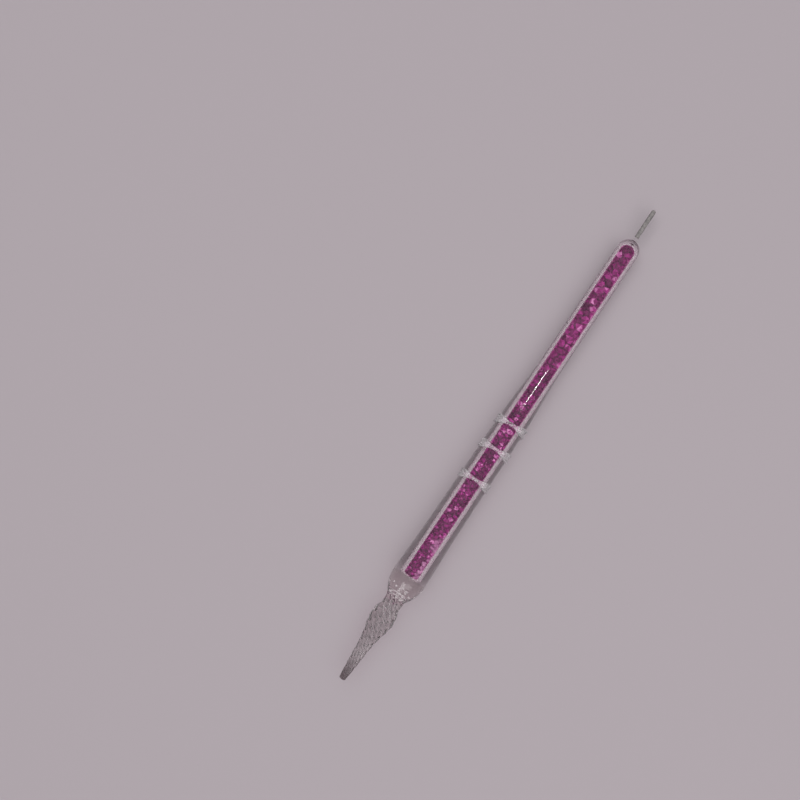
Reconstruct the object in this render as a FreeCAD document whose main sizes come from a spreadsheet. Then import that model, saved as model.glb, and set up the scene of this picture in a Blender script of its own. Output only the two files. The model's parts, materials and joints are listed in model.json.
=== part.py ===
"""Glass dip pen: a lampworked pen of clear glass whose hollow barrel holds magenta crystal chips.

Frame: the pen lies along X with its nib towards -X and its tail towards +X, and +Z is up. The origin
is under the middle of the pen, on the level that the pen's widest part rests on. Sizes are in mm.
Stations are measured along the pen from the point of the nib, and radii from the pen's axis.
"""
import FreeCAD, Part
import math
import os
import random
import re
import Sketcher

SIZES = {
    "overall_length": 180.0,
    # Nib: a solid rod with twisted flutes
    "nib_tip_radius": 0.9,
    "nib_cone_station": 4.3,
    "nib_cone_radius": 1.42,
    "nib_middle_station": 9.6,
    "nib_middle_radius": 1.9,
    "nib_shank_station": 17.6,
    "nib_shank_radius": 3.0,
    "nib_belly_station": 23.8,
    "nib_belly_radius": 3.92,
    "nib_neck_station": 27.0,
    "nib_neck_radius": 2.95,
    "nib_length": 28.6,
    "nib_base_radius": 2.98,
    "flute_count": 10,
    "flute_depth_ratio": 0.17,
    "twist_degrees_per_mm": -11.5,
    # Shoulder: the solid bulb that closes the front of the barrel
    "shoulder_flare_station": 30.4,
    "shoulder_flare_radius": 3.45,
    "shoulder_curve_radius": 12.0,
    "shoulder_radius": 5.75,
    "barrel_start": 37.5,
    # Crystal tube: flared slightly under the grip, straight behind it and domed shut at the rear
    "tube_radius": 3.75,
    "tube_flare_radius": 3.95,
    "bore_radius": 2.5,
    "bore_end": 165.8,
    "dome_start": 163.6,
    "dome_curve_radius": 3.9,
    "tube_end": 167.4,
    "dome_end_radius": 0.95,
    # Grip casing: the layer of clear glass over the front of the tube
    "grip_waist_station": 54.0,
    "grip_waist_radius": 5.2,
    "grip_hip_station": 99.0,
    "grip_hip_radius": 4.8,
    "casing_end": 116.0,
    "casing_end_radius": 3.84,
    # Collars: a thread of glass wound round the grip, with a drop of glass on each side
    "front_collar_station": 74.0,
    "middle_collar_station": 85.5,
    "rear_collar_station": 94.8,
    "thread_radius": 0.62,
    "thread_sink": 0.17,
    "drop_reach": 5.75,
    "drop_radial_size": 1.9,
    "drop_axial_size": 2.1,
    "drop_tangent_size": 3.5,
    # Tail: a thin solid rod on a small foot
    "tail_foot_end": 169.0,
    "tail_rod_radius": 0.75,
    # Crystal chips: loose faceted chips in three grades, the finest at the front
    "chip_clearance": 0.05,
    "fine_chip_radius": 0.88,
    "fine_chips_end": 74.0,
    "medium_chip_radius": 1.12,
    "medium_chips_end": 116.0,
    "coarse_chip_radius": 1.2,
}

CHIP_SIDES = 5
CHIP_RIM_ANGLE = math.radians(32)
CHIP_SEED = 11
PALE_CHIP_STEP = 7
ALONG_PEN = FreeCAD.Rotation(FreeCAD.Vector(0, 1, 0), 90)
ON_AXIS = None
STRAIGHT = None

doc = FreeCAD.newDocument("glass_dip_pen")
sheet = doc.addObject("Spreadsheet::Sheet", "Sizes")
for row, (alias, value) in enumerate(SIZES.items(), start=1):
    sheet.set("A%d" % row, alias)
    sheet.set("B%d" % row, str(value))
    sheet.setAlias("B%d" % row, alias)
doc.recompute()


def size(expression):
    """The value of an expression written with the sheet's names."""
    return float(sheet.evalExpression(expression))


def bound(expression):
    """The same expression as an object outside the sheet writes it."""
    return re.sub(r"[a-z_]{2,}", lambda name: "Sizes." + name.group(), expression)


def place_on_pen(piece, station=None, side=None, turn=None):
    """Put a piece's own origin at a station on the pen's axis, or at a distance to its side."""
    if turn is not None:
        piece.Placement = FreeCAD.Placement(FreeCAD.Vector(), turn)
    start = "%s - overall_length / 2" % station if station else "-overall_length / 2"
    piece.setExpression("Placement.Base.x", bound(start))
    if side is not None:
        piece.setExpression("Placement.Base.y", bound(side))
    piece.setExpression("Placement.Base.z", bound("shoulder_radius"))


# ---------------------------------------------------------------- turned pieces

def hold_point(sketch, curve, end, station, radius):
    """Hold one end of a sketched curve at a station and a radius taken from the sheet."""
    held = sketch.addConstraint(Sketcher.Constraint("DistanceX", curve, end, size(station)))
    sketch.setExpression("Constraints[%d]" % held, bound(station))
    if radius is ON_AXIS:
        sketch.addConstraint(Sketcher.Constraint("PointOnObject", curve, end, -1))
    else:
        held = sketch.addConstraint(Sketcher.Constraint("DistanceY", curve, end, size(radius)))
        sketch.setExpression("Constraints[%d]" % held, bound(radius))


def bulging_arc(start, end, radius):
    """A circular arc between two points that bulges away from the axis."""
    chord = end - start
    inward = FreeCAD.Vector(chord.y, -chord.x, 0).normalize()
    if inward.y > 0:
        inward = inward * -1
    rise = math.sqrt(radius ** 2 - (chord.Length / 2) ** 2)
    centre = (start + end) / 2 + inward * rise
    return Part.Arc(start, centre - inward * radius, end)


def turned_body(name, outline):
    """A body of revolution about the pen's axis, from a closed outline.

    Each corner of the outline is (station, radius, curve), where curve is the radius of the arc
    that leads to the next corner.
    """
    body = doc.addObject("PartDesign::Body", name)
    plane = [item for item in body.Origin.OriginFeatures if item.Role == "XZ_Plane"][0]
    sketch = body.newObject("Sketcher::SketchObject", name + "_outline")
    sketch.AttachmentSupport = (plane, [""])
    sketch.MapMode = "FlatFace"
    points = [FreeCAD.Vector(size(station), 0 if radius is ON_AXIS else size(radius), 0)
              for station, radius, curve in outline]
    for index, (station, radius, curve) in enumerate(outline):
        following = (index + 1) % len(outline)
        next_station, next_radius, _ = outline[following]
        if curve is STRAIGHT:
            sketch.addGeometry(Part.LineSegment(points[index], points[following]), False)
        else:
            sketch.addGeometry(bulging_arc(points[index], points[following], size(curve)), False)
        starts_here = sketch.getPoint(index, 1).distanceToPoint(points[index]) < 1e-6
        near, far = (1, 2) if starts_here else (2, 1)
        hold_point(sketch, index, near, station, radius)
        hold_point(sketch, index, far, next_station, next_radius)
        if curve is not STRAIGHT:
            held = sketch.addConstraint(Sketcher.Constraint("Radius", index, size(curve)))
            sketch.setExpression("Constraints[%d]" % held, bound(curve))
    turned = body.newObject("PartDesign::Revolution", name + "_turned")
    turned.Profile = sketch
    turned.ReferenceAxis = (sketch, ["H_Axis"])
    turned.Angle = 360.0
    body.Tip = turned
    place_on_pen(body)
    return body


def crystal_tube():
    """Tube that holds the chips, open at the shoulder and domed shut at the rear."""
    return turned_body("crystal_tube", [
        ("barrel_start", "bore_radius", STRAIGHT),
        ("barrel_start", "tube_flare_radius", STRAIGHT),
        ("casing_end", "tube_radius", STRAIGHT),
        ("dome_start", "tube_radius", "dome_curve_radius"),
        ("tube_end", "dome_end_radius", STRAIGHT),
        ("tube_end", ON_AXIS, STRAIGHT),
        ("bore_end", ON_AXIS, "bore_radius"),
        ("bore_end - bore_radius", "bore_radius", STRAIGHT),
    ])


def grip_casing():
    """Clear casing over the front of the tube, widest at the shoulder and thinning rearwards."""
    return turned_body("grip_casing", [
        ("barrel_start", "tube_flare_radius", STRAIGHT),
        ("barrel_start", "shoulder_radius", STRAIGHT),
        ("grip_waist_station", "grip_waist_radius", STRAIGHT),
        ("grip_hip_station", "grip_hip_radius", STRAIGHT),
        ("casing_end", "casing_end_radius", STRAIGHT),
        ("casing_end", "tube_radius", STRAIGHT),
    ])


def shoulder_bulb():
    """Solid bulb that closes the front of the barrel and carries the nib."""
    return turned_body("shoulder_bulb", [
        ("nib_length", ON_AXIS, STRAIGHT),
        ("nib_length", "nib_base_radius", STRAIGHT),
        ("shoulder_flare_station", "shoulder_flare_radius", "shoulder_curve_radius"),
        ("barrel_start", "shoulder_radius", STRAIGHT),
        ("barrel_start", ON_AXIS, STRAIGHT),
    ])


def tail_foot():
    """Small foot of glass that seals the tail rod to the dome."""
    return turned_body("tail_foot", [
        ("tube_end", ON_AXIS, STRAIGHT),
        ("tube_end", "dome_end_radius", STRAIGHT),
        ("tail_foot_end", "tail_rod_radius", STRAIGHT),
        ("tail_foot_end", ON_AXIS, STRAIGHT),
    ])


def tail_rod():
    """Thin solid rod with a melted, rounded end."""
    return turned_body("tail_rod", [
        ("tail_foot_end", ON_AXIS, STRAIGHT),
        ("tail_foot_end", "tail_rod_radius", STRAIGHT),
        ("overall_length - tail_rod_radius", "tail_rod_radius", "tail_rod_radius"),
        ("overall_length", ON_AXIS, STRAIGHT),
    ])


# ---------------------------------------------------------------- fluted nib

def fluted_nib():
    """Solid nib whose flutes twist round it, deepest at the belly and fading at both ends."""
    profile = Part.BSplineCurve()
    profile.interpolate([FreeCAD.Vector(size(station), size(radius), 0) for station, radius in (
        ("0", "nib_tip_radius"),
        ("nib_cone_station", "nib_cone_radius"),
        ("nib_middle_station", "nib_middle_radius"),
        ("nib_shank_station", "nib_shank_radius"),
        ("nib_belly_station", "nib_belly_radius"),
        ("nib_neck_station", "nib_neck_radius"),
        ("nib_length", "nib_base_radius"),
    )])
    flutes = int(size("flute_count"))
    columns = flutes * 6
    rows = 36
    rings = []
    for row in range(rows + 1):
        share = row / rows
        station, radius, _ = profile.value(profile.LastParameter * share)
        depth = size("flute_depth_ratio") * math.sqrt(math.sin(math.pi * share))
        twist = math.radians(size("twist_degrees_per_mm")) * station
        ring = []
        for column in range(columns + 1):
            angle = 2 * math.pi * (column % columns) / columns
            crest = radius * (1 - depth * (1 - math.cos(flutes * angle)) / 2)
            ring.append(FreeCAD.Vector(station, crest * math.cos(angle + twist),
                                       crest * math.sin(angle + twist)))
        rings.append(ring)
    skin = Part.BSplineSurface()
    skin.interpolate(rings)
    side = skin.toShape()
    ends = [Part.Face(Part.Wire([edge])) for edge in side.Edges if edge.isClosed()]
    shell = Part.Shell([side] + ends)
    shell.sewShape()
    nib = doc.addObject("Part::Feature", "fluted_nib")
    nib.Shape = Part.Solid(shell)
    place_on_pen(nib)
    return nib


# ---------------------------------------------------------------- collars

def grip_cone():
    """The grip's outer surface between waist and hip, as a solid that the collars are cut with."""
    cone = doc.addObject("Part::Cone", "grip_cone")
    cone.setExpression("Radius1", bound("grip_waist_radius"))
    cone.setExpression("Radius2", bound("grip_hip_radius"))
    cone.setExpression("Height", bound("grip_hip_station - grip_waist_station"))
    place_on_pen(cone, "grip_waist_station", turn=ALONG_PEN)
    return cone


def grip_radius_at(station):
    taper = "(grip_hip_radius - grip_waist_radius) / (grip_hip_station - grip_waist_station)"
    return "grip_waist_radius + (%s - grip_waist_station) * %s" % (station, taper)


def less(piece, tool, name):
    """The piece with the tool's volume cut out of it."""
    cut = doc.addObject("Part::Cut", name)
    cut.Base = piece
    cut.Tool = tool
    return cut


def collar(place, cone):
    """A wound thread of glass and the two drops on its sides, all seated on the grip."""
    station = place + "_collar_station"
    torus = doc.addObject("Part::Torus", place + "_thread")
    torus.setExpression("Radius1", bound("%s - thread_sink" % grip_radius_at(station)))
    torus.setExpression("Radius2", bound("thread_radius"))
    place_on_pen(torus, station, turn=ALONG_PEN)
    thread = less(torus, cone, place + "_collar_thread")
    pieces = [thread]
    for side, sign in (("left", ""), ("right", "-")):
        drop = doc.addObject("Part::Ellipsoid", "%s_%s_bead" % (place, side))
        drop.Angle1 = -90.0
        drop.Angle2 = 90.0
        drop.setExpression("Radius1", bound("drop_radial_size"))
        drop.setExpression("Radius2", bound("drop_axial_size"))
        drop.setExpression("Radius3", bound("drop_tangent_size"))
        outwards = FreeCAD.Rotation(FreeCAD.Vector(1, 0, 0), 90 if sign else -90)
        place_on_pen(drop, station, side="%s(drop_reach - drop_radial_size)" % sign, turn=outwards)
        seated = less(drop, cone, "%s_%s_seated" % (place, side))
        pieces.append(less(seated, thread, "%s_collar_%s_drop" % (place, side)))
    return pieces


# ---------------------------------------------------------------- crystal chips

def faceted_chip(centre, radius, turn):
    """A cut chip with two flat five-sided faces and ten triangles, inside a ball of this radius."""
    rim = radius * math.cos(CHIP_RIM_ANGLE)
    half_height = radius * math.sin(CHIP_RIM_ANGLE)
    step = 2 * math.pi / CHIP_SIDES

    def corner(number, level):
        angle = step * (number + level / 2)
        flat = FreeCAD.Vector(rim * math.cos(angle), rim * math.sin(angle), half_height * (1 - 2 * level))
        return centre + turn.multVec(flat)

    top = [corner(number, 0) for number in range(CHIP_SIDES)]
    bottom = [corner(number, 1) for number in range(CHIP_SIDES)]
    outlines = [top, bottom]
    for number in range(CHIP_SIDES):
        following = (number + 1) % CHIP_SIDES
        outlines.append([top[number], top[following], bottom[number]])
        outlines.append([top[following], bottom[following], bottom[number]])
    faces = [Part.Face(Part.makePolygon(outline + [outline[0]])) for outline in outlines]
    return Part.Solid(Part.Shell(faces))


def chip_column(first, last, radius, per_layer, with_core, random_turn):
    """Chips stacked in layers inside the bore, each layer turned to nest on the one before it."""
    ring = size("bore_radius - chip_clearance") - radius
    nest = 2 * ring * math.sin(math.pi / per_layer / 2)
    spacing = math.sqrt((2 * radius) ** 2 - nest ** 2) + size("chip_clearance")
    layers = int((last - first - 2 * radius) / spacing) + 1
    chips = []
    for layer in range(layers):
        station = first + radius + layer * spacing
        if with_core:
            core_radius = ring - radius - size("chip_clearance") / 2
            chips.append(faceted_chip(FreeCAD.Vector(station, 0, 0), core_radius, random_turn()))
        for number in range(per_layer):
            angle = 2 * math.pi * (number + layer / 2) / per_layer
            centre = FreeCAD.Vector(station, ring * math.cos(angle), ring * math.sin(angle))
            chips.append(faceted_chip(centre, radius, random_turn()))
    return chips


def chip_group(name, chips):
    group = doc.addObject("Part::Feature", name)
    group.Shape = Part.makeCompound(chips)
    place_on_pen(group)
    return group


def crystal_chips():
    """The fill of loose chips: fine in the grip, medium behind the collars, coarse at the tail."""
    dice = random.Random(CHIP_SEED)

    def random_turn():
        return FreeCAD.Rotation(dice.uniform(0, 360), dice.uniform(0, 360), dice.uniform(0, 360))

    fine_end = size("fine_chips_end")
    medium_end = size("medium_chips_end")
    coarse_end = size("bore_end - bore_radius + coarse_chip_radius")
    fine = chip_column(size("barrel_start"), fine_end, size("fine_chip_radius"), 5, True, random_turn)
    medium = chip_column(fine_end, medium_end, size("medium_chip_radius"), 3, False, random_turn)
    coarse = chip_column(medium_end, coarse_end, size("coarse_chip_radius"), 2, False, random_turn)
    pale = fine[::PALE_CHIP_STEP]
    fine = [chip for number, chip in enumerate(fine) if number % PALE_CHIP_STEP]
    return [chip_group("fine_crystal_chips", fine), chip_group("pale_crystal_chips", pale),
            chip_group("medium_crystal_chips", medium), chip_group("coarse_crystal_chips", coarse)]


# ---------------------------------------------------------------- assembly

nodes = [fluted_nib(), shoulder_bulb(), grip_casing(), crystal_tube(), tail_foot(), tail_rod()]
collar_cone = grip_cone()
for collar_place in ("front", "middle", "rear"):
    nodes += collar(collar_place, collar_cone)
nodes += crystal_chips()
doc.recompute()

for item in doc.Objects:
    if "Invalid" in item.State or "Error" in item.State:
        raise RuntimeError("%s failed to build: %s" % (item.Label, item.State))
os.makedirs("parts", exist_ok=True)
for node in nodes:
    if node.Shape.isNull() or not node.Shape.isValid() or not node.Shape.Solids:
        raise RuntimeError("%s has no valid solid" % node.Label)
    node.Shape.exportStep("parts/%s.step" % node.Label)
    print("%-28s solids %3d  volume %9.2f mm3" % (node.Label, len(node.Shape.Solids), node.Shape.Volume))
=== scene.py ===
"""Looks of the glass dip pen: clear glass, crystal chips, floor, light and camera.

Lengths are in metres. Stations run along X, and radii and angles are taken about the pen's own axis,
which is level. Angles start at the pen's left side (+Y) and turn towards its top (+Z).
"""
import json
import math
import random

import bmesh
import bpy
import numpy as np
from mathutils import Matrix, Vector

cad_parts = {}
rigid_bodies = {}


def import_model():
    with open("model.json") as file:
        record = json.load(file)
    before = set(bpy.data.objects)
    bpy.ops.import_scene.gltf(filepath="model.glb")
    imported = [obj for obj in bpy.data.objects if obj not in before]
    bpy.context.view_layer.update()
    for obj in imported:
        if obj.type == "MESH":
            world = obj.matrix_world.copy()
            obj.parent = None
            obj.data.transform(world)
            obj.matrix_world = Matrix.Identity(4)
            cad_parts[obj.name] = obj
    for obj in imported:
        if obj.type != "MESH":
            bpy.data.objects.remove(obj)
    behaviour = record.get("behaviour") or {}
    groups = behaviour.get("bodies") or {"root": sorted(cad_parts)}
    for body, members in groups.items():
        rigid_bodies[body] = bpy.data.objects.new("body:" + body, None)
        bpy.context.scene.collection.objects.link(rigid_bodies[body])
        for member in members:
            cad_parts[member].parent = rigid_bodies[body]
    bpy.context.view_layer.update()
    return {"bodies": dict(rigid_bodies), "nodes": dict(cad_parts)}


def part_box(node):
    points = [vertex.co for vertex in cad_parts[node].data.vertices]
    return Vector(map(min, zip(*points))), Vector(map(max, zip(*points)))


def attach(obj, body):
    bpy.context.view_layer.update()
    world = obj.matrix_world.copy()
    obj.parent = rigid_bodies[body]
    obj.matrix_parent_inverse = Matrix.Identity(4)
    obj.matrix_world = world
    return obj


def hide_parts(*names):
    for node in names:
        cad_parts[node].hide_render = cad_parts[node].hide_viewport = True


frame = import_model()

MM = 0.001
BODY = next(iter(frame["bodies"]))
COLLARS = ("front", "middle", "rear")

COLUMNS = 144                      # faces round a turned piece
CREASE = math.radians(38)          # edges bent more than this stay sharp
WELD = 0.0005 * MM                 # points this close become one
SLIVER = 0.0001 * MM               # edges this short are removed

FLUTES = 10
FLUTE_DEPTH = 0.24                 # a share of the nib's radius
TWIST = math.radians(-11.5) / MM   # turn of the flutes about the axis, per metre of length


# ---------------------------------------------------------------- sizes read from the frame

AT_AN_END = 0.1 * MM               # a point this close to an end belongs to it
ON_THE_AXIS = 0.01 * MM
WALL_TOLERANCE = 0.04 * MM


def node_points(node):
    """A CAD node's vertices as (station, radius from the pen's axis) rows."""
    points = np.array([vertex.co for vertex in frame["nodes"][node].data.vertices])
    radii = np.hypot(points[:, 1], points[:, 2] - AXIS_HEIGHT)
    return np.stack([points[:, 0], radii], axis=1)


def outline(node, inner_wall=None):
    """The outer outline of a turned CAD node: its stations, and the radius at each.

    For a hollow node, inner_wall gives its inner radius at a station, and points on that wall are left out.
    """
    widest = {}
    for station, radius in node_points(node):
        if inner_wall is None or radius > inner_wall(station) + WALL_TOLERANCE:
            key = round(station, 6)
            widest[key] = max(widest.get(key, 0.0), radius)
    stations = sorted(widest)
    return stations, [widest[station] for station in stations]


def ends(node):
    """The first and last station of a CAD node."""
    low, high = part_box(node)
    return low.x, high.x


AXIS_HEIGHT = sum(corner.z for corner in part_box("crystal_tube")) / 2
NIB_TIP, NIB_SEAM = ends("fluted_nib")
BARREL_START, TUBE_END = ends("crystal_tube")
CASING_END = ends("grip_casing")[1]
FOOT_END = ends("tail_foot")[1]
ROD_END = ends("tail_rod")[1]

tube_points = node_points("crystal_tube")
tube_front = tube_points[tube_points[:, 0] < BARREL_START + AT_AN_END]
BORE_RADIUS = tube_front[:, 1].min()
BORE_END = tube_points[tube_points[:, 1] < ON_THE_AXIS][:, 0].min()
TUBE_FRONT_RADIUS = tube_front[:, 1].max()
TUBE_RADIUS = tube_points[tube_points[:, 0] > CASING_END][:, 1].max()


def bore_radius(station):
    """The bore's radius at a station, with its round rear end."""
    beyond = min(max(station - (BORE_END - BORE_RADIUS), 0.0), BORE_RADIUS)
    return math.sqrt(BORE_RADIUS ** 2 - beyond ** 2)


def joint_radius(station):
    """The tube's outer radius under the grip casing."""
    return np.interp(station, [BARREL_START, CASING_END], [TUBE_FRONT_RADIUS, TUBE_RADIUS])


def full_outline():
    """The pen's outer outline behind the nib, from the CAD's own outlines."""
    stretches = (
        ("shoulder_bulb", NIB_SEAM, BARREL_START, None),
        ("grip_casing", BARREL_START, CASING_END, joint_radius),
        ("crystal_tube", CASING_END, TUBE_END, bore_radius),
        ("tail_foot", TUBE_END, FOOT_END, None),
        ("tail_rod", FOOT_END, ROD_END, None),
    )
    stations = []
    radii = []
    for node, first, last, inner_wall in stretches:
        for station, radius in zip(*outline(node, inner_wall)):
            if first <= station <= last and radius > ON_THE_AXIS:
                stations.append(station)
                radii.append(radius)
    return np.array(stations), np.array(radii)


OUTLINE = full_outline()
SEAM_BLEND = 0.16                  # blend gained per length behind the nib's seam
DOME_BLEND = 0.2                   # blend gained per length before the dome
DOME_TIP = 2 * MM
SHORTEST_BLEND = 0.15 * MM
LONGEST_BLEND = 6 * MM
BLEND_SAMPLES = 61


def outer_radius(station):
    """The pen's outer radius behind the nib, with the flame's soft blends between its parts.

    The outline is averaged over a length that grows away from the nib's seam and from the dome.
    """
    station = np.asarray(station, dtype=float)
    blend = np.minimum(SEAM_BLEND * (station - NIB_SEAM), DOME_BLEND * (TUBE_END - station - DOME_TIP))
    blend = np.clip(blend, SHORTEST_BLEND, LONGEST_BLEND)
    total = np.zeros_like(station)
    for sample in np.linspace(-1, 1, BLEND_SAMPLES):
        total += np.interp(station + sample * blend, *OUTLINE)
    return total / BLEND_SAMPLES


RIDGE_STEP = 0.8 * MM


def crest_radius(station):
    """The nib's radius over its ridges, from the CAD nib."""
    points = node_points("fluted_nib")
    centres = np.arange(NIB_TIP, NIB_SEAM + RIDGE_STEP, RIDGE_STEP)
    crests = []
    for centre in centres:
        near = np.abs(points[:, 0] - centre) < 0.75 * RIDGE_STEP
        crests.append(points[near][:, 1].max())
    crests = np.convolve(np.pad(crests, 1, mode="edge"), [0.25, 0.5, 0.25], mode="valid")
    return np.interp(station, centres, crests)


# ---------------------------------------------------------------- meshes

ALL_ROUND = np.arange(COLUMNS) * 2 * math.pi / COLUMNS


def wrap(stations, radii, angles):
    """Points of a surface from arrays of station, radius and angle, with one row per ring."""
    stations, radii, angles = np.broadcast_arrays(stations, radii, angles)
    return np.stack([stations, radii * np.cos(angles), AXIS_HEIGHT + radii * np.sin(angles)], axis=-1)


def lathe(stations, radii):
    """A patch of rings round the whole axis. Station and radius are one number, or one per column."""
    rows = []
    for station, radius in zip(stations, radii):
        rows.append(wrap(station, radius, ALL_ROUND))
    return np.array(rows)


def disc(station, inner, outer):
    """A flat ring across the axis, or a full disc when the inner radius is zero."""
    radii = [inner, (inner + outer) / 2, outer] if inner == 0 else [inner, outer]
    return lathe([station] * len(radii), radii)


def new_piece(name, mesh, materials):
    """An object in the scene for a mesh, with its materials."""
    piece = bpy.data.objects.new(name, mesh)
    bpy.context.scene.collection.objects.link(piece)
    for material in materials:
        mesh.materials.append(material)
    return piece


def smooth_piece(name, build, materials):
    """A smooth-shaded object from finished faces, with creases at its sharp edges."""
    bmesh.ops.recalc_face_normals(build, faces=build.faces)
    for face in build.faces:
        face.smooth = True
    mesh = bpy.data.meshes.new(name)
    build.to_mesh(mesh)
    build.free()
    mesh.set_sharp_from_angle(angle=CREASE)
    return new_piece(name, mesh, materials)


def make_piece(name, patches, materials):
    """One object from (points, material number) patches of closed rings, welded where they meet."""
    build = bmesh.new()
    for points, material in patches:
        rows, columns, _ = points.shape
        corners = [[build.verts.new(point) for point in row] for row in points]
        for row in range(rows - 1):
            for column in range(columns):
                following = (column + 1) % columns
                ring = [corners[row][column], corners[row][following],
                        corners[row + 1][following], corners[row + 1][column]]
                face = build.faces.new(ring)
                face.material_index = material
    bmesh.ops.remove_doubles(build, verts=build.verts, dist=WELD)
    bmesh.ops.dissolve_degenerate(build, edges=build.edges, dist=SLIVER)
    return smooth_piece(name, build, materials)


def stand_for(piece, slot, *nodes):
    """Let a piece ride on the pen's body and replace its CAD nodes."""
    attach(piece, BODY)
    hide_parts(*nodes)
    return piece


# ---------------------------------------------------------------- shader nodes

GLASS_IOR = 1.5


def new_material(name):
    """An empty node material: the material, its tree and its output node."""
    material = bpy.data.materials.new(name)
    material.use_nodes = True
    tree = material.node_tree
    tree.nodes.clear()
    output = tree.nodes.new("ShaderNodeOutputMaterial")
    return material, tree, output


def feed(tree, value, socket):
    """Feed a socket from another node's output, or set it to a plain value."""
    if isinstance(value, bpy.types.NodeSocket):
        tree.links.new(value, socket)
    else:
        socket.default_value = value


def principled(tree, **values):
    """The main shader, with glass's refractive index. A value is plain or another node's output."""
    body = tree.nodes.new("ShaderNodeBsdfPrincipled")
    body.inputs["IOR"].default_value = GLASS_IOR
    for key, value in values.items():
        feed(tree, value, body.inputs[key.replace("_", " ")])
    return body.outputs[0]


def coordinates(tree, kind="Object"):
    """The X, Y and Z outputs of a place on the surface."""
    place = tree.nodes.new("ShaderNodeTexCoord")
    split = tree.nodes.new("ShaderNodeSeparateXYZ")
    tree.links.new(place.outputs[kind], split.inputs[0])
    return split.outputs


def noise(tree, scale, detail=2.0):
    """Smooth noise with a number of features per metre."""
    place = tree.nodes.new("ShaderNodeTexCoord")
    texture = tree.nodes.new("ShaderNodeTexNoise")
    tree.links.new(place.outputs["Object"], texture.inputs["Vector"])
    texture.inputs["Scale"].default_value = scale
    texture.inputs["Detail"].default_value = detail
    return texture.outputs["Fac"]


def bumps(tree, height, distance, strength=1.0):
    """A surface normal that follows another node's output as its height."""
    node = tree.nodes.new("ShaderNodeBump")
    node.inputs["Strength"].default_value = strength
    node.inputs["Distance"].default_value = distance
    tree.links.new(height, node.inputs["Height"])
    return node.outputs["Normal"]


def chain(tree, source, operation, *others):
    """A maths node fed by another node's output, and by up to two more values or outputs."""
    node = tree.nodes.new("ShaderNodeMath")
    node.operation = operation
    for value, socket in zip((source, *others), node.inputs):
        feed(tree, value, socket)
    return node.outputs[0]


def spread(tree, value, start, end, first=0.0, last=1.0):
    """A number that runs from first to last while another node's output runs from start to end."""
    node = tree.nodes.new("ShaderNodeMapRange")
    for name, number in (("From Min", start), ("From Max", end), ("To Min", first), ("To Max", last)):
        node.inputs[name].default_value = number
    tree.links.new(value, node.inputs["Value"])
    return node.outputs[0]


def mix(tree, kind, share, first, second):
    """A blend of two numbers or two colours, with a share of the second."""
    node = tree.nodes.new("ShaderNodeMix")
    node.data_type = kind
    sockets = [socket for socket in node.inputs if socket.enabled]
    for value, socket in zip((share, first, second), sockets):
        feed(tree, value, socket)
    return next(socket for socket in node.outputs if socket.enabled)


def colour_ramp(tree, source, stops):
    """A colour picked by another node's output, from (position, colour) stops in order."""
    ramp = tree.nodes.new("ShaderNodeValToRGB")
    elements = ramp.color_ramp.elements
    for element, (position, colour) in zip(elements, (stops[0], stops[-1])):
        element.position = position
        element.color = colour
    for position, colour in stops[1:-1]:
        elements.new(position).color = colour
    tree.links.new(source, ramp.inputs[0])
    return ramp.outputs[0]


def rim_shade(tree, least):
    """Painted shade at a rim: one where a surface faces the eye, falling to a least value where it turns
    away.
    """
    edge = tree.nodes.new("ShaderNodeLayerWeight")
    edge.inputs["Blend"].default_value = 0.35
    return spread(tree, edge.outputs["Facing"], 0.35, 0.95, 1.0, least)


def shaded(tree, colour, shade):
    """A colour made darker by a shade from another node."""
    node = tree.nodes.new("ShaderNodeVectorMath")
    node.operation = "SCALE"
    feed(tree, colour, node.inputs[0])
    tree.links.new(shade, node.inputs["Scale"])
    return node.outputs[0]


def see_through(tree, body, output, shade):
    """Show the glass itself to the camera, and let light from lamps and matt surfaces through, tinted."""
    clear = tree.nodes.new("ShaderNodeBsdfTransparent")
    clear.inputs["Color"].default_value = shade
    path = tree.nodes.new("ShaderNodeLightPath")
    passing = chain(tree, path.outputs["Is Shadow Ray"], "MAXIMUM", path.outputs["Is Diffuse Ray"])
    either = tree.nodes.new("ShaderNodeMixShader")
    for value, socket in zip((passing, body, clear.outputs[0]), either.inputs):
        tree.links.new(value, socket)
    tree.links.new(either.outputs[0], output.inputs["Surface"])


# ---------------------------------------------------------------- materials

# Noise features per metre.
SLOW_WAVES = 260.0
CHIP_CLOUD = 330.0
BULB_WAVES = 420.0
FACET_STREAKS = 1100.0
BORE_FILM = 1400.0
ROD_STREAKS = 1500.0
FLOOR_GRAIN = 1800.0
FINE_BUBBLES = 3600.0

# What light keeps of its colour on its way through the glass.
GLASS_SHADE = (0.87, 0.83, 0.845, 1.0)
BORE_SHADE = (0.85, 0.80, 0.83, 1.0)
SEED_SHADE = (0.95, 0.93, 0.94, 1.0)

CLEAR_TINT = (0.975, 0.962, 0.966, 1.0)
BULB_TINT = (0.90, 0.86, 0.85)
POINT_SHADE_LENGTH = 9 * MM              # length of the painted shade at the nib's point


def glass(name, wave_height, roughness=0.0):
    """Fire-polished clear glass with slow waves in its surface."""
    material, tree, output = new_material(name)
    waves = bumps(tree, noise(tree, SLOW_WAVES), wave_height)
    body = principled(tree, Base_Color=CLEAR_TINT, Roughness=roughness, Transmission_Weight=1.0,
                      Normal=waves)
    see_through(tree, body, output, GLASS_SHADE)
    return material


def pink_film_wall():
    """The wall of the bore, with a thin, patchy pink film."""
    material, tree, output = new_material("pink_film_bore_wall")
    film = spread(tree, noise(tree, BORE_FILM, 3.0), 0.3, 0.7, 0.97, 0.86)
    body = principled(tree, Base_Color=(1.0, 0.30, 0.70, 1.0), Roughness=0.0, Transmission_Weight=film)
    see_through(tree, body, output, BORE_SHADE)
    return material


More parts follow.
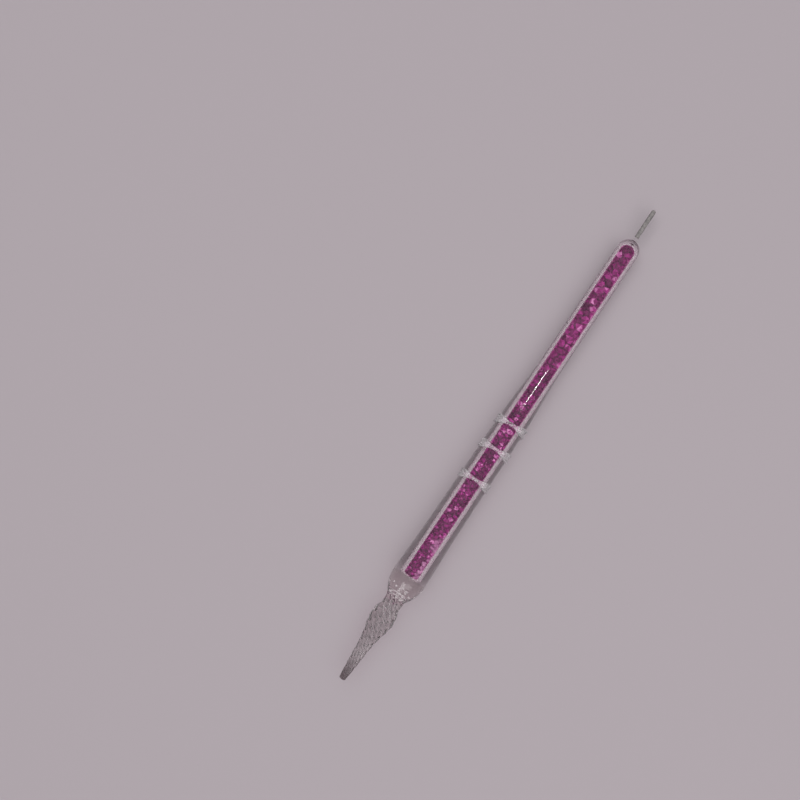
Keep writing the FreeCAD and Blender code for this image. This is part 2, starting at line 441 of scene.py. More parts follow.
def bulb_glass():
    """The shoulder's glass: thick and uneven, tinted a little grey, and with painted shade round its rim.
    """
    material, tree, output = new_material("bulb_glass")
    waves = bumps(tree, noise(tree, BULB_WAVES), 0.05 * MM)
    colour = shaded(tree, BULB_TINT, rim_shade(tree, 0.6))
    body = principled(tree, Base_Color=colour, Roughness=0.05, Transmission_Weight=1.0, Normal=waves)
    see_through(tree, body, output, GLASS_SHADE)
    return material


def painted_point_shade(tree, place):
    """The nib's colour: painted shade darkens its ground point and fades out behind it, where the glass is
    clear.
    """
    along = spread(tree, place["X"], NIB_TIP, NIB_TIP + POINT_SHADE_LENGTH)
    return colour_ramp(tree, along, ((0.15, (0.33, 0.28, 0.29, 1)), (1.0, (0.94, 0.91, 0.905, 1))))


def groove_shade(tree, place):
    """Painted shade: one on the nib's ridges and less down in its flutes, which turn with the twist."""
    height = chain(tree, place["Z"], "SUBTRACT", AXIS_HEIGHT)
    angle = chain(tree, height, "ARCTAN2", place["Y"])
    turned = chain(tree, place["X"], "MULTIPLY_ADD", -TWIST, TWIST * NIB_TIP)
    phase = chain(tree, chain(tree, angle, "ADD", turned), "MULTIPLY", FLUTES)
    ridge = chain(tree, phase, "COSINE")
    return spread(tree, ridge, -1.0, 0.6, 0.62, 1.0)


def nib_glass():
    """The nib's glass: painted shade darkens its ground point, its flutes and its rim, and it is clear
    behind the point.
    """
    material, tree, output = new_material("nib_glass")
    place = coordinates(tree)
    shade = chain(tree, groove_shade(tree, place), "MULTIPLY", rim_shade(tree, 0.45))
    colour = shaded(tree, painted_point_shade(tree, place), shade)
    body = principled(tree, Base_Color=colour, Roughness=0.13, Transmission_Weight=1.0)
    see_through(tree, body, output, GLASS_SHADE)
    return material


def milky_glass():
    """Glass wound on from a rod: full of fine bubbles, so it is slightly cloudy."""
    material, tree, output = new_material("bubbly_glass")
    bubbles = noise(tree, FINE_BUBBLES, 3.0)
    cloud = spread(tree, bubbles, 0.38, 0.62, 0.97, 0.42)
    pits = bumps(tree, bubbles, 0.05 * MM, strength=0.7)
    body = principled(tree, Base_Color=(0.98, 0.94, 0.965, 1.0), Roughness=0.03,
                      Transmission_Weight=cloud, Normal=pits)
    see_through(tree, body, output, GLASS_SHADE)
    return material


def rod_shade_glass():
    """The thin rod at the tail: painted shade makes it grey, in faint streaks along its drawn surface."""
    material, tree, output = new_material("rod_shade_glass")
    stops = ((0.35, (0.24, 0.225, 0.22, 1)), (0.65, (0.44, 0.41, 0.40, 1)))
    tone = colour_ramp(tree, noise(tree, ROD_STREAKS, 3.0), stops)
    body = principled(tree, Base_Color=tone, Roughness=0.3, Transmission_Weight=0.3)
    tree.links.new(body, output.inputs["Surface"])
    return material


def bubble_glint_wall():
    """The wall of a small air bubble: pale and partly matt, a painted highlight that shows the bubble as a
    pale speck.
    """
    material, tree, output = new_material("bubble_painted_glint_wall")
    body = principled(tree, Base_Color=(0.95, 0.92, 0.93, 1.0), Roughness=0.25, Transmission_Weight=0.45)
    see_through(tree, body, output, SEED_SHADE)
    return material


def fused_joint():
    """The face inside a fused joint: glass runs on through it, so nothing shows."""
    material, tree, output = new_material("fused_joint")
    tree.links.new(principled(tree, Alpha=0.0), output.inputs["Surface"])
    return material


def crystal(name, dark, middle, bright, painted_glint):
    """Crushed crystal: chips differ in depth of colour, painted light and shade differs from facet to
    facet, and a painted glint lights a few facets.
    """
    material, tree, output = new_material(name)
    shape = tree.nodes.new("ShaderNodeNewGeometry")
    # Painted light and shade that differs from facet to facet.
    facet_shading = tree.nodes.new("ShaderNodeTexWhiteNoise")
    tree.links.new(shape.outputs["True Normal"], facet_shading.inputs["Vector"])
    inner = mix(tree, "FLOAT", 0.3, facet_shading.outputs["Value"], noise(tree, FACET_STREAKS, 3.0))
    depth = mix(tree, "FLOAT", 0.4, inner, shape.outputs["Random Per Island"])
    cloud = chain(tree, noise(tree, CHIP_CLOUD), "MULTIPLY_ADD", 0.5, -0.25)
    # The last stop is a painted glint.
    stops = ((0.22, dark), (0.5, middle), (0.75, bright), (0.86, painted_glint))
    colour = colour_ramp(tree, chain(tree, depth, "ADD", cloud), stops)
    body = principled(tree, Base_Color=colour, Roughness=0.12)
    tree.links.new(body, output.inputs["Surface"])
    return material


def floor_material():
    """A pale, matt floor with a fine grain."""
    material, tree, output = new_material("pale_floor")
    grain = bumps(tree, noise(tree, FLOOR_GRAIN, 3.0), 0.05 * MM, strength=0.25)
    body = principled(tree, Base_Color=(0.46, 0.409, 0.437, 1.0), Roughness=0.9, Normal=grain)
    tree.links.new(body, output.inputs["Surface"])
    return material


CLEAR = glass("clear_glass", wave_height=0.0015 * MM, roughness=0.1)
TUBE_GLASS = glass("drawn_glass", wave_height=0.004 * MM)
BULB_GLASS = bulb_glass()
BORE_WALL = pink_film_wall()
NIB_GLASS = nib_glass()
MILKY = milky_glass()
ROD_SHADE = rod_shade_glass()
JOINT = fused_joint()
BUBBLE_GLINT_WALL = bubble_glint_wall()

# Material numbers in a piece: its own glass, its joints, and then its inner walls.
GLASS = 0
FUSED = 1
PINK_FILM = 2
SEED = 2


# ---------------------------------------------------------------- nib

NIB_RINGS = 300
NIB_COLUMNS = 16 * FLUTES
NIB_ROUND = np.arange(NIB_COLUMNS) * 2 * math.pi / NIB_COLUMNS
POINT_LENGTH = 0.4 * MM
FLUTES_RUN_IN = 4 * MM
GROOVE_ROUNDING = 0.01


def nib_ring(station, crest, groove):
    """One ring of the nib: rounded ridges with sharp grooves between them, turned by the twist."""
    ridge = np.sqrt(np.cos(NIB_ROUND * FLUTES / 2) ** 2 + GROOVE_ROUNDING)
    radius = crest * (1 - groove * (1 - np.clip(ridge, 0, 1)))
    return wrap(station, radius, NIB_ROUND + TWIST * (station - NIB_TIP))


def fluted_disc(station, crest, groove, start=0.0):
    """A flat face across the axis with the nib's fluted outline, from a share of its radius outwards."""
    return np.array([nib_ring(station, crest * part, groove) for part in (start, (1 + start) / 2, 1)])


def nib():
    """Solid nib whose flutes twist round it from the rounded point to the shoulder."""
    start = NIB_TIP + POINT_LENGTH
    stations = np.linspace(start, NIB_SEAM, NIB_RINGS)
    depth = FLUTE_DEPTH * np.sqrt(np.clip((stations - start) / FLUTES_RUN_IN, 0, 1))
    crests = crest_radius(stations)
    flutes = [nib_ring(*row) for row in zip(stations, crests, depth)]
    point = []
    for angle in np.linspace(0, math.pi / 2, 8)[:-1]:
        point.append(nib_ring(start - POINT_LENGTH * math.cos(angle), crests[0] * math.sin(angle), 0))
    patches = [
        (np.array(point + flutes[:1]), GLASS),
        (np.array(flutes), GLASS),
        (fluted_disc(NIB_SEAM, crests[-1], depth[-1]), FUSED),
    ]
    return stand_for(make_piece("nib", patches, [NIB_GLASS, JOINT]), "clear_glass", "fluted_nib")


# ---------------------------------------------------------------- shoulder

FRONT_ROUND = 1.0 * MM             # rounding of the bore's front corner
FRONT_OPENING = BORE_RADIUS - FRONT_ROUND

SHOULDER_RINGS = 90
FLUTES_RUN_OUT = 4.0 * MM
RIPPLE_HEIGHT = 0.06 * MM
RIPPLE_PITCH = 1.3 * MM
RIPPLE_START = 1.5 * MM            # the ripple is at its full height here
RIPPLE_END = 7 * MM

AIR_RINGS = ((2.2 * MM, 2.6 * MM), (3.4 * MM, 2.2 * MM))   # place behind the seam, and radius
AIR_RING_HALF = 0.09 * MM          # half a ring's thickness
AIR_RING_STRETCH = 1.6             # its length along the pen, as a share of its thickness
RING_STEPS = 48
RING_SIDES = 8

BUBBLES = 16
BUBBLE_PLACES = (1.3 * MM, 6.5 * MM)     # behind the seam
BUBBLE_REACHES = (0.3 * MM, 2.4 * MM)    # from the axis
BUBBLE_RADII = (0.16 * MM, 0.42 * MM)
BUBBLE_STRETCHES = (1.0, 1.6)


def add_bubble(build, centre, radius, stretch):
    """A round hole in the glass, drawn out along the pen."""
    place = Matrix.Translation(centre) @ Matrix.Diagonal((stretch, 1, 1, 1))
    made = bmesh.ops.create_icosphere(build, subdivisions=2, radius=radius, matrix=place)
    return [face for vertex in made["verts"] for face in vertex.link_faces]


def add_air_ring(build, station, radius):
    """A thin ring of trapped air round the axis."""
    corners = []
    for step in range(RING_STEPS):
        angle = step * 2 * math.pi / RING_STEPS
        ring = []
        for side in range(RING_SIDES):
            turn = side * 2 * math.pi / RING_SIDES
            reach = radius + AIR_RING_HALF * math.cos(turn)
            along = AIR_RING_STRETCH * AIR_RING_HALF * math.sin(turn)
            ring.append(build.verts.new((station + along, reach * math.cos(angle),
                                         AXIS_HEIGHT + reach * math.sin(angle))))
        corners.append(ring)
    faces = []
    for step in range(RING_STEPS):
        following = corners[(step + 1) % RING_STEPS]
        for side in range(RING_SIDES):
            beside = (side + 1) % RING_SIDES
            faces.append(build.faces.new([corners[step][side], corners[step][beside],
                                          following[beside], following[side]]))
    return faces


def add_seed_bubbles(piece):
    """Air trapped where the nib was fused on: rings round the joint and a scatter of small bubbles."""
    dice = random.Random(23)
    build = bmesh.new()
    build.from_mesh(piece.data)
    faces = []
    for behind, radius in AIR_RINGS:
        faces += add_air_ring(build, NIB_SEAM + behind, radius)
    for _ in range(BUBBLES):
        angle = dice.uniform(0, 2 * math.pi)
        reach = dice.uniform(*BUBBLE_REACHES)
        centre = (NIB_SEAM + dice.uniform(*BUBBLE_PLACES), reach * math.cos(angle),
                  AXIS_HEIGHT + reach * math.sin(angle))
        radius = dice.uniform(*BUBBLE_RADII)
        faces += add_bubble(build, centre, radius, dice.uniform(*BUBBLE_STRETCHES))
    faces = list(set(faces))
    bmesh.ops.recalc_face_normals(build, faces=faces)
    bmesh.ops.reverse_faces(build, faces=faces)
    for face in faces:
        face.smooth = True
        face.material_index = SEED
    build.to_mesh(piece.data)
    build.free()


def shoulder():
    """Solid bulb between nib and barrel: the flutes run out into it, and faint ripples follow them."""
    stations = np.linspace(NIB_SEAM, BARREL_START, SHOULDER_RINGS)
    behind = stations - NIB_SEAM
    ripple = RIPPLE_HEIGHT * np.sin(behind * 2 * math.pi / RIPPLE_PITCH)
    fade = np.clip(1 - behind / RIPPLE_END, 0, 1) * np.clip(behind / RIPPLE_START, 0, 1)
    radii = outer_radius(stations) + ripple * fade
    depth = FLUTE_DEPTH * np.clip(1 - behind / FLUTES_RUN_OUT, 0, 1) ** 2
    patches = [
        (fluted_disc(NIB_SEAM, radii[0], depth[0]), FUSED),
        (np.array([nib_ring(*row) for row in zip(stations, radii, depth)]), GLASS),
        (fluted_disc(BARREL_START, radii[-1], 0, FRONT_OPENING / radii[-1]), FUSED),
        (fluted_disc(BARREL_START, FRONT_OPENING, 0), GLASS),
    ]
    piece = make_piece("shoulder", patches, [BULB_GLASS, JOINT, BUBBLE_GLINT_WALL])
    add_seed_bubbles(piece)
    return stand_for(piece, "clear_glass", "shoulder_bulb")


# ---------------------------------------------------------------- collars

THREAD_LEAN = 80.0                 # degrees up from the side: only thread above this
DROP_LEAN = 30.0                   # and only drop below this
DROP_SHARE = 0.88                  # a drop's length, as a share of the CAD drop's
LOBE_MIDDLE = 0.45                 # a drop's height midway between its two lobes
LOBE_RISE = 0.75


def smooth_step(edge0, edge1, value):
    """A smooth rise from zero at one edge to one at the other."""
    share = np.clip((value - edge0) / (edge1 - edge0), 0, 1)
    return share * share * (3 - 2 * share)


class Collar:
    """Shape of one wound collar: narrow over the top and bottom, wide and tall at the sides."""

    def __init__(self, place):
        low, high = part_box("%s_collar_thread" % place)
        self.place = place
        self.station = (low.x + high.x) / 2
        self.thread_half = (high.x - low.x) / 2
        self.thread_height = (high.z - low.z) / 2 - outer_radius(self.station)
        drop_low, drop_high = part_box("%s_collar_right_drop" % place)
        self.drop_half = DROP_SHARE * ((drop_high.x - drop_low.x) / 2)
        self.drop_height = -drop_low.y - outer_radius(self.station)

    def sideways(self, angle):
        """One at the pen's sides and zero over its top and bottom."""
        lean = np.degrees(np.arcsin(np.clip(np.abs(np.sin(angle)), 0, 1)))
        return smooth_step(THREAD_LEAN, DROP_LEAN, lean)

    def half_width(self, angle):
        """Half the collar's length along the pen."""
        return self.thread_half + (self.drop_half - self.thread_half) * self.sideways(angle)

    def height(self, angle):
        """The collar's height over the grip, before its section is taken into account."""
        return self.thread_height + (self.drop_height - self.thread_height) * self.sideways(angle)

    def edge(self, angle, side):
        """The station of the collar's front (-1) or rear (1) edge."""
        return self.station + side * self.half_width(angle)

    def section(self, angle, across):
        """Height over the grip at a place across the band, from -1 to 1."""
        side = self.sideways(angle)
        round_thread = np.sqrt(np.clip(1 - across ** 2, 0, 1))
        two_lobes = np.clip(1 - across ** 6, 0, 1) ** 0.5 * (LOBE_MIDDLE + LOBE_RISE * across ** 2)
        return self.height(angle) * ((1 - side) * round_thread + side * two_lobes)


def collar_rows(collar, first, last):
    """Rows of points over one stretch of a collar between two columns, from foot to foot."""
    angles = np.arange(first, last + 1) * 2 * math.pi / COLUMNS
    rows = []
    for place in -np.cos(np.linspace(0, math.pi, 21)):
        stations = collar.station + place * collar.half_width(angles)
        height = collar.section(angles, place) if abs(place) < 1 else 0.0
        rows.append(wrap(stations, outer_radius(stations) + height, angles))
    return rows


def make_band(name, collar, spans):
    """A piece of collar from one or more stretches, each closed with a flat joint at both ends."""
    build = bmesh.new()
    for first, last in spans:
        rows = [[build.verts.new(point) for point in row] for row in collar_rows(collar, first, last)]
        for row, following in zip(rows, rows[1:]):
            for column in range(len(row) - 1):
                face = build.faces.new([row[column], row[column + 1],
                                        following[column + 1], following[column]])
                face.material_index = GLASS
        front = rows[0]
        rear = rows[-1]
        for column in range(len(front) - 1):
            face = build.faces.new([front[column], front[column + 1], rear[column + 1], rear[column]])
            face.material_index = FUSED
        for column in (0, len(front) - 1):
            face = build.faces.new([row[column] for row in rows])
            face.material_index = FUSED
    return smooth_piece(name, build, [MILKY, JOINT])


def collar_pieces(collar):
    """The thread over the top and bottom, and the drops at the sides."""
    eighth = COLUMNS // 8
    spans = {
        "thread": [(eighth, 3 * eighth), (5 * eighth, 7 * eighth)],
        "left_drop": [(-eighth, eighth)],
        "right_drop": [(3 * eighth, 5 * eighth)],
    }
    for part, span in spans.items():
        piece = make_band("%s_%s" % (collar.place, part), collar, span)
        stand_for(piece, "clear_glass", "%s_collar_%s" % (collar.place, part))


# ---------------------------------------------------------------- grip, tube and tail

GRIP_ROW = 0.7 * MM                # length of a row of the grip's faces
DOME_LENGTH = 5 * MM


def grip(collars):
    """Clear casing over the front of the tube, fused to it and to the collars."""
    edges = [(np.full(COLUMNS, BARREL_START), GLASS)]
    for collar in collars:
        edges.append((collar.edge(ALL_ROUND, -1), FUSED))
        edges.append((collar.edge(ALL_ROUND, 1), GLASS))
    edges.append((np.full(COLUMNS, CASING_END), GLASS))
    patches = []
    for (start, kind), (end, _) in zip(edges, edges[1:]):
        length = (end - start).mean()
        rows = 2 if kind == FUSED else max(6, int(length / GRIP_ROW))
        stations = [start + (end - start) * step for step in np.linspace(0, 1, rows)]
        patches.append((lathe(stations, [outer_radius(row) for row in stations]), kind))
    patches.append((disc(BARREL_START, TUBE_FRONT_RADIUS, outer_radius(BARREL_START)), FUSED))
    patches.append((lathe([BARREL_START, CASING_END], [TUBE_FRONT_RADIUS, TUBE_RADIUS]), FUSED))
    patches.append((disc(CASING_END, TUBE_RADIUS, outer_radius(CASING_END)), FUSED))
    return stand_for(make_piece("grip", patches, [CLEAR, JOINT]), "clear_glass", "grip_casing")


def bore_outline():
    """The bore: a rounded front corner, a straight stretch and a round end."""
    corner = np.linspace(0, math.pi / 2, 10)[:-1]
    straight = np.linspace(BARREL_START + FRONT_ROUND, BORE_END - BORE_RADIUS, 60)
    turn = np.linspace(0, math.pi / 2, 20)[1:]
    stations = np.concatenate([BARREL_START + FRONT_ROUND * (1 - np.cos(corner)), straight,
                               BORE_END - BORE_RADIUS + BORE_RADIUS * np.sin(turn)])
    radii = np.concatenate([FRONT_OPENING + FRONT_ROUND * np.sin(corner),
                            np.full(len(straight), BORE_RADIUS), BORE_RADIUS * np.cos(turn)])
    radii[-1] = 0.0
    return stations, radii


def tube():
    """The tube that holds the chips: fused under the grip, bare and domed behind it."""
    dome = TUBE_END - DOME_LENGTH * np.cos(np.linspace(0, math.pi / 2, 40))[1:]
    bare = np.concatenate([np.linspace(CASING_END, TUBE_END - DOME_LENGTH, 60), dome])
    radii = outer_radius(bare)
    patches = [
        (disc(BARREL_START, FRONT_OPENING, TUBE_FRONT_RADIUS), FUSED),
        (lathe([BARREL_START, CASING_END], [TUBE_FRONT_RADIUS, TUBE_RADIUS]), FUSED),
        (disc(CASING_END, TUBE_RADIUS, radii[0]), FUSED),
        (lathe(bare, radii), GLASS),
        (disc(TUBE_END, 0, radii[-1]), FUSED),
        (lathe(*bore_outline()), PINK_FILM),
    ]
    piece = make_piece("tube", patches, [TUBE_GLASS, JOINT, BORE_WALL])
    return stand_for(piece, "clear_glass", "crystal_tube")


def foot():
    """Small foot that seals the tail rod to the tube's dome."""
    stations = np.linspace(TUBE_END, FOOT_END, 16)
    radii = outer_radius(stations)
    patches = [
        (disc(TUBE_END, 0, radii[0]), FUSED),
        (lathe(stations, radii), GLASS),
        (disc(FOOT_END, 0, radii[-1]), FUSED),
    ]
    return stand_for(make_piece("foot", patches, [CLEAR, JOINT]), "clear_glass", "tail_foot")


def rod():
    """Thin solid rod at the tail, with a melted, round end."""
    radius = outer_radius(FOOT_END)
    straight = np.linspace(FOOT_END, ROD_END - radius, 24)
    turn = np.linspace(0, math.pi / 2, 12)[1:]
    stations = np.concatenate([straight, ROD_END - radius + radius * np.sin(turn)])
    radii = np.concatenate([np.full(len(straight), radius), radius * np.cos(turn)])
    radii[-1] = 0.0
    patches = [
        (disc(FOOT_END, 0, radius), FUSED),
        (lathe(stations, radii), GLASS),
    ]
    return stand_for(make_piece("rod", patches, [ROD_SHADE, JOINT]), "clear_glass", "tail_rod")


# ---------------------------------------------------------------- crystal chips

SHAKES = 120
PUSH = 0.3                         # share of an overlap that one shake clears
SCATTER = 0.6                      # chips start within this share of the bore's radius
CORE = 0.8                         # share of a chip's radius that stays clear of the wall
CHIP_GAP = 0.03 * MM
END_GAP = 0.25 * MM
SHORTEST_REACH = 0.08 * MM
NEIGHBOURHOOD = 4                  # chips within this many radii are neighbours
SLANT = 0.05                       # a ray that leans on a plane less than this never meets it
OUT_OF_REACH = 1.0
CHIP_CORNERS = (14, 20)
CHIP_JITTER = 0.28
CHIP_GROWTH = (1.05, 1.45)         # how far a corner grows, as a share of the chip's radius
CHIP_SIZES = (0.8, 1.25)           # a chip's radius, as a share of its grade's

PALE_LENGTH = 17 * MM              # pale chips lie this far back along the bore
PALE_SIDE = 0.25                   # and this share of its radius or more to the right
PALE_SHARE = 0.8


def settle(first, last, radii, dice):
    """Centres of chips shaken down between two stations of the bore until they lie evenly."""
    count = len(radii)
    centres = np.array([[dice.uniform(first, last), dice.uniform(-SCATTER, SCATTER) * BORE_RADIUS,
                         dice.uniform(-SCATTER, SCATTER) * BORE_RADIUS] for _ in range(count)])
    for _ in range(SHAKES):
        gap = centres[:, None, :] - centres[None, :, :]
        distance = np.linalg.norm(gap, axis=2) + np.eye(count)
        wanted = radii[:, None] + radii[None, :]
        overlap = np.clip(wanted - distance, 0, None) * (1 - np.eye(count))
        centres += (gap / distance[:, :, None] * overlap[:, :, None]).sum(axis=1) * PUSH
        reach = np.hypot(centres[:, 1], centres[:, 2])
        room = BORE_RADIUS - CORE * radii
        centres[:, 1:] *= np.where(reach > room, room / np.maximum(reach, ON_THE_AXIS), 1.0)[:, None]
        centres[:, 0] = np.clip(centres[:, 0], first + CORE * radii, last - CORE * radii)
    return centres


def ball_directions(count, dice):
    """Directions spread over a ball, turned and jittered at random."""
    number = np.arange(count) + 0.5
    height = 1 - 2 * number / count
    turn = math.pi * (1 + math.sqrt(5)) * number + dice.uniform(0, 2 * math.pi)
    flat = np.sqrt(1 - height ** 2)
    rays = np.stack([flat * np.cos(turn), flat * np.sin(turn), height], axis=1)
    rays += np.array([[dice.uniform(-1, 1) for _ in range(3)] for _ in rays]) * CHIP_JITTER
    rays /= np.linalg.norm(rays, axis=1)[:, None]
    return rays @ np.array(Matrix.Rotation(dice.uniform(0, math.pi), 3, "X"))


def room_to_neighbours(rays, centre, others, shares):
    """How far a chip can grow along each ray before it meets the plane it shares with a neighbour."""
    gap = others - centre
    distance = np.linalg.norm(gap, axis=1)
    facing = rays @ (gap / distance[:, None]).T
    planes = (distance * shares - CHIP_GAP)[None, :] / np.maximum(facing, SLANT)
    return np.where(facing > SLANT, planes, OUT_OF_REACH).min(axis=1)


def room_to_wall(rays, centre):
    """How far a chip can grow along each ray before it meets the bore's wall."""
    side = rays[:, 1:]
    flat = (side ** 2).sum(axis=1)
    lean = side @ centre[1:]
    wall = BORE_RADIUS - CHIP_GAP
    reach = np.sqrt(lean ** 2 + flat * (wall ** 2 - (centre[1:] ** 2).sum())) - lean
    return reach / np.maximum(flat, 0.0001)


def room_to_ends(rays, centre):
    """How far a chip can grow along each ray before it meets the front or the rear of the bore."""
    ahead = BORE_END - END_GAP - centre[0]
    behind = centre[0] - BARREL_START - CHIP_GAP
    return np.where(rays[:, 0] > 0, ahead, behind) / np.maximum(np.abs(rays[:, 0]), 0.0001)


def corner_limit(points):
    """Points near the front of the bore, drawn in so that they stay off its rounded corner."""
    depth = np.clip(1 - (points[:, 0] - BARREL_START) / FRONT_ROUND, 0, 1)
    wall = FRONT_OPENING + FRONT_ROUND * np.sqrt(1 - depth ** 2) - CHIP_GAP
    reach = np.hypot(points[:, 1], points[:, 2])
    points[:, 1:] *= np.minimum(1, wall / np.maximum(reach, 0.001 * MM))[:, None]
    return points


def dome_limit(points):
    """Points near the round end of the bore, drawn in so that they stay under its dome."""
    ball_centre = np.array([BORE_END - BORE_RADIUS, 0, 0])
    beyond = points - ball_centre
    length = np.linalg.norm(beyond, axis=1)
    wall = BORE_RADIUS - CHIP_GAP
    outside = (beyond[:, 0] > 0) & (length > wall)
    points[outside] = ball_centre + beyond[outside] * (wall / length[outside])[:, None]
    return points


def add_chip(build, centre, radius, others, shares, dice):
    """One crushed chip, grown from its centre until it nearly touches: flat facets and sharp edges."""
    rays = ball_directions(dice.randint(*CHIP_CORNERS), dice)
    reach = np.array([dice.uniform(*CHIP_GROWTH) for _ in rays]) * radius
    reach = np.minimum(reach, room_to_neighbours(rays, centre, others, shares))
    reach = np.minimum(reach, room_to_wall(rays, centre))
    reach = np.minimum(reach, room_to_ends(rays, centre))
    reach = np.maximum(reach, SHORTEST_REACH)
    points = corner_limit(dome_limit(centre + rays * reach[:, None]))
    corners = [build.verts.new(point + np.array([0, 0, AXIS_HEIGHT])) for point in points]
    hull = bmesh.ops.convex_hull(build, input=corners)
    left_over = set(hull["geom_interior"] + hull["geom_unused"])
    inside = [corner for corner in corners if corner in left_over]
    bmesh.ops.delete(build, geom=inside, context="VERTS")


def chip_piece(name, centres, radii, chosen, dice, material):
    """One object that holds the chosen chips."""
    build = bmesh.new()
    for number in chosen:
        radius = radii[number]
        distance = np.linalg.norm(centres - centres[number], axis=1)
        near = (distance < NEIGHBOURHOOD * radius) & (distance > 0)
        shares = radius / (radius + radii[near])
        add_chip(build, centres[number], radius, centres[near], shares, dice)
    mesh = bpy.data.meshes.new(name)
    build.to_mesh(mesh)
    build.free()
    return new_piece(name, mesh, [material])


def pale_ones(centres, dice):
    """Which of the fine chips are pale: most of those on the right, near the front."""
    to_the_right = centres[:, 1] < -PALE_SIDE * BORE_RADIUS
    forward = centres[:, 0] < BARREL_START + PALE_LENGTH
    return to_the_right & forward & (np.array([dice.random() for _ in centres]) < PALE_SHARE)


def crystal_fill():
    """Crushed chips through the whole bore, finest at the front and coarse at the tail."""
    dice = random.Random(5)
    # The fourth colour of each crystal is its painted glint.
    magenta = crystal("magenta_crystal", (0.030, 0.0004, 0.022, 1), (0.17, 0.001, 0.115, 1),
                      (0.52, 0.03, 0.40, 1), (1.0, 0.72, 0.95, 1))
    rose = crystal("rose_crystal", (0.045, 0.001, 0.028, 1), (0.20, 0.004, 0.135, 1),
                   (0.58, 0.08, 0.44, 1), (1.0, 0.72, 0.95, 1))
    lilac = crystal("lilac_crystal", (0.30, 0.16, 0.27, 1), (0.56, 0.42, 0.54, 1),
                    (0.80, 0.72, 0.80, 1), (1.0, 0.95, 1.0, 1))
    fine_end = ends("medium_crystal_chips")[0]
    # Each grade's name, first and last station, mean chip radius, number of chips and colour.
    grades = (
        ("fine", BARREL_START, fine_end, 0.62 * MM, 430, magenta),
        ("medium", fine_end, CASING_END, 0.80 * MM, 250, magenta),
        ("coarse", CASING_END, BORE_END - 0.3 * MM, 1.18 * MM, 105, rose),
    )
    for grade, first, last, size, count, colour in grades:
        radii = np.array([size * dice.uniform(*CHIP_SIZES) for _ in range(count)])
        centres = settle(first, last, radii, dice)
        pale = np.zeros(count, dtype=bool)
        if grade == "fine":
            pale = pale_ones(centres, dice)
            piece = chip_piece("pale_chips", centres, radii, np.flatnonzero(pale), dice, lilac)
            stand_for(piece, "lilac_crystal", "pale_crystal_chips")
        piece = chip_piece("%s_chips" % grade, centres, radii, np.flatnonzero(~pale), dice, colour)
        stand_for(piece, "magenta_crystal", "%s_crystal_chips" % grade)


# ---------------------------------------------------------------- floor, light and camera

FLOOR_RADIUS = 1.1
FLOOR_GAP = 0.03 * MM              # how far the floor stays under the shoulder
FLOOR_LEAN = 0.96                  # share of the slope from the shoulder to the front collar

SKY = (
    (0.0, (0.10, 0.092, 0.098, 1)),
    (0.3, (0.18, 0.168, 0.178, 1)),
    (0.8, (0.42, 0.41, 0.42, 1)),
)
BACKDROP = (0.55, 0.51, 0.54, 1)
WORLD_STRENGTH = 0.7

CAMERA_PLACE = Vector((-0.0517, -0.00055, 0.3980))
CAMERA_AIM = Vector((-0.00776, 0.03379, 0.00578))
PICTURE_ANGLE = math.radians(55.7)  # how far the pen is turned up from the picture's level
FIELD_OF_VIEW = math.radians(35.66)


def stage_floor():
    """A round floor that leans just enough to nearly touch the pen at the shoulder and front collar."""
    rim = [(FLOOR_RADIUS * math.cos(angle), FLOOR_RADIUS * math.sin(angle), 0) for angle in ALL_ROUND]
    mesh = bpy.data.meshes.new("floor")
    mesh.from_pydata(rim, [], [tuple(range(COLUMNS))])
    floor = new_piece("floor", mesh, [floor_material()])
    front_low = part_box("grip_casing")[0]
    collar_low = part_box("front_collar_thread")[0]
    slope = (collar_low.z - front_low.z) / (collar_low.x - BARREL_START)
    turn = -math.atan(slope * FLOOR_LEAN)
    floor.rotation_euler.y = turn
    floor.location.z = front_low.z - FLOOR_GAP + BARREL_START * math.tan(turn)


def area_light(name, place, target, width, depth, power):
    """A rectangular lamp that faces its target. From above, its depth runs towards the target."""
    light = bpy.data.lights.new(name, "AREA")
    light.shape = "RECTANGLE"
    light.size = width
    light.size_y = depth
    light.energy = power
    lamp = bpy.data.objects.new(name, light)
    bpy.context.scene.collection.objects.link(lamp)
    lamp.location = place
    lamp.rotation_euler = (Vector(place) - Vector(target)).to_track_quat("Z", "Y").to_euler()
    return lamp


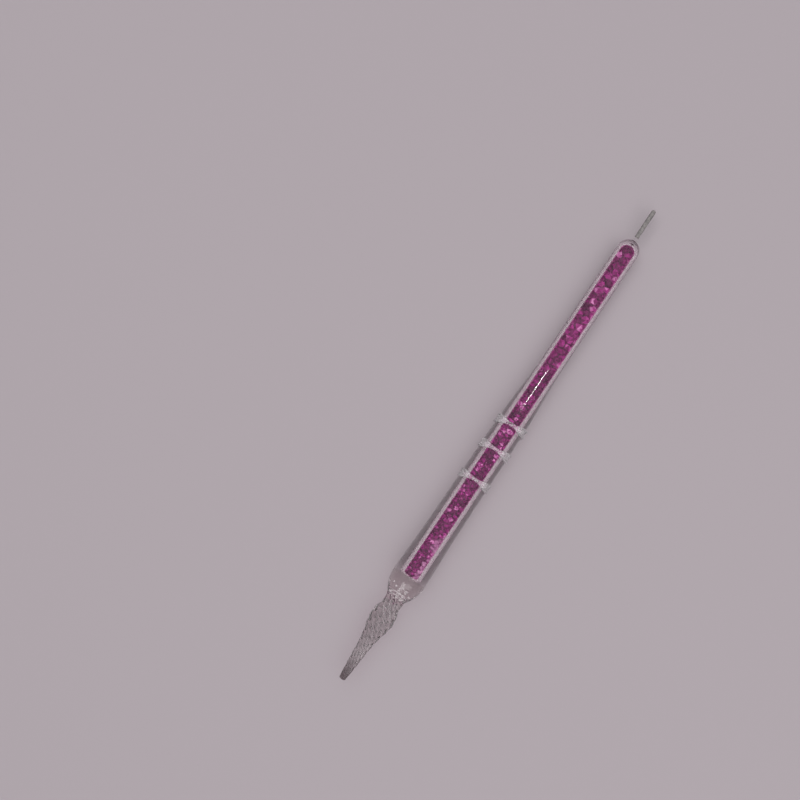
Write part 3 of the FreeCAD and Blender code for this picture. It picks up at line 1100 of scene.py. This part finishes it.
def lights(grip_piece):
    """A large softbox overhead, a narrow lamp for the grip's highlight and a weak window."""
    softbox = area_light("softbox", place=(-0.05, -0.1, 1.05), target=(0, 0, 0),
                         width=1.2, depth=2.6, power=16.1)
    softbox.visible_glossy = False
    softbox.visible_transmission = False
    glint = area_light("glint", place=(0.362, 0.03, 1.2), target=(0.02, 0, 0),
                       width=0.04, depth=0.08, power=1.2)
    glint.visible_diffuse = False
    lit = bpy.data.collections.new("lit_by_glint")
    lit.objects.link(grip_piece)
    glint.light_linking.receiver_collection = lit
    window = area_light("window", place=(-0.62, 0.1, 0.85), target=(-0.07, 0, 0),
                        width=0.35, depth=0.5, power=1.3)
    window.visible_diffuse = False


def studio():
    """Soft light from all round, brighter from above. The camera itself sees an even, pale backdrop."""
    world = bpy.data.worlds.new("studio")
    bpy.context.scene.world = world
    world.use_nodes = True
    tree = world.node_tree
    sky = colour_ramp(tree, coordinates(tree, "Generated")["Z"], SKY)
    path = tree.nodes.new("ShaderNodeLightPath")
    colour = mix(tree, "RGBA", path.outputs["Is Camera Ray"], sky, BACKDROP)
    background = tree.nodes["Background"]
    feed(tree, colour, background.inputs["Color"])
    feed(tree, WORLD_STRENGTH, background.inputs["Strength"])


def camera():
    """A camera over the pen, leaning towards its nib, turned so that the pen runs up to the right."""
    data = bpy.data.cameras.new("camera")
    data.sensor_width = 36.0
    data.angle = FIELD_OF_VIEW
    view = bpy.data.objects.new("camera", data)
    bpy.context.scene.collection.objects.link(view)
    back = (CAMERA_PLACE - CAMERA_AIM).normalized()
    along = (Vector((1, 0, 0)) - back * back.x).normalized()
    across = back.cross(along)
    right = along * math.cos(PICTURE_ANGLE) - across * math.sin(PICTURE_ANGLE)
    up = back.cross(right)
    turned = Matrix((right, up, back)).transposed().to_4x4()
    view.matrix_world = Matrix.Translation(CAMERA_PLACE) @ turned
    bpy.context.scene.camera = view


def render_settings():
    """Plain colours, and enough bounces for light to find its way through the nested glass."""
    scene = bpy.context.scene
    scene.view_settings.view_transform = "Standard"
    scene.cycles.max_bounces = 24
    scene.cycles.transmission_bounces = 24
    scene.cycles.glossy_bounces = 8
    scene.cycles.diffuse_bounces = 3
    scene.cycles.transparent_max_bounces = 48
    scene.cycles.sample_clamp_indirect = 6.0


nib()
shoulder()
collars = [Collar(place) for place in COLLARS]
grip_piece = grip(collars)
tube()
foot()
rod()
for collar in collars:
    collar_pieces(collar)
crystal_fill()
stage_floor()
lights(grip_piece)
studio()
camera()
render_settings()
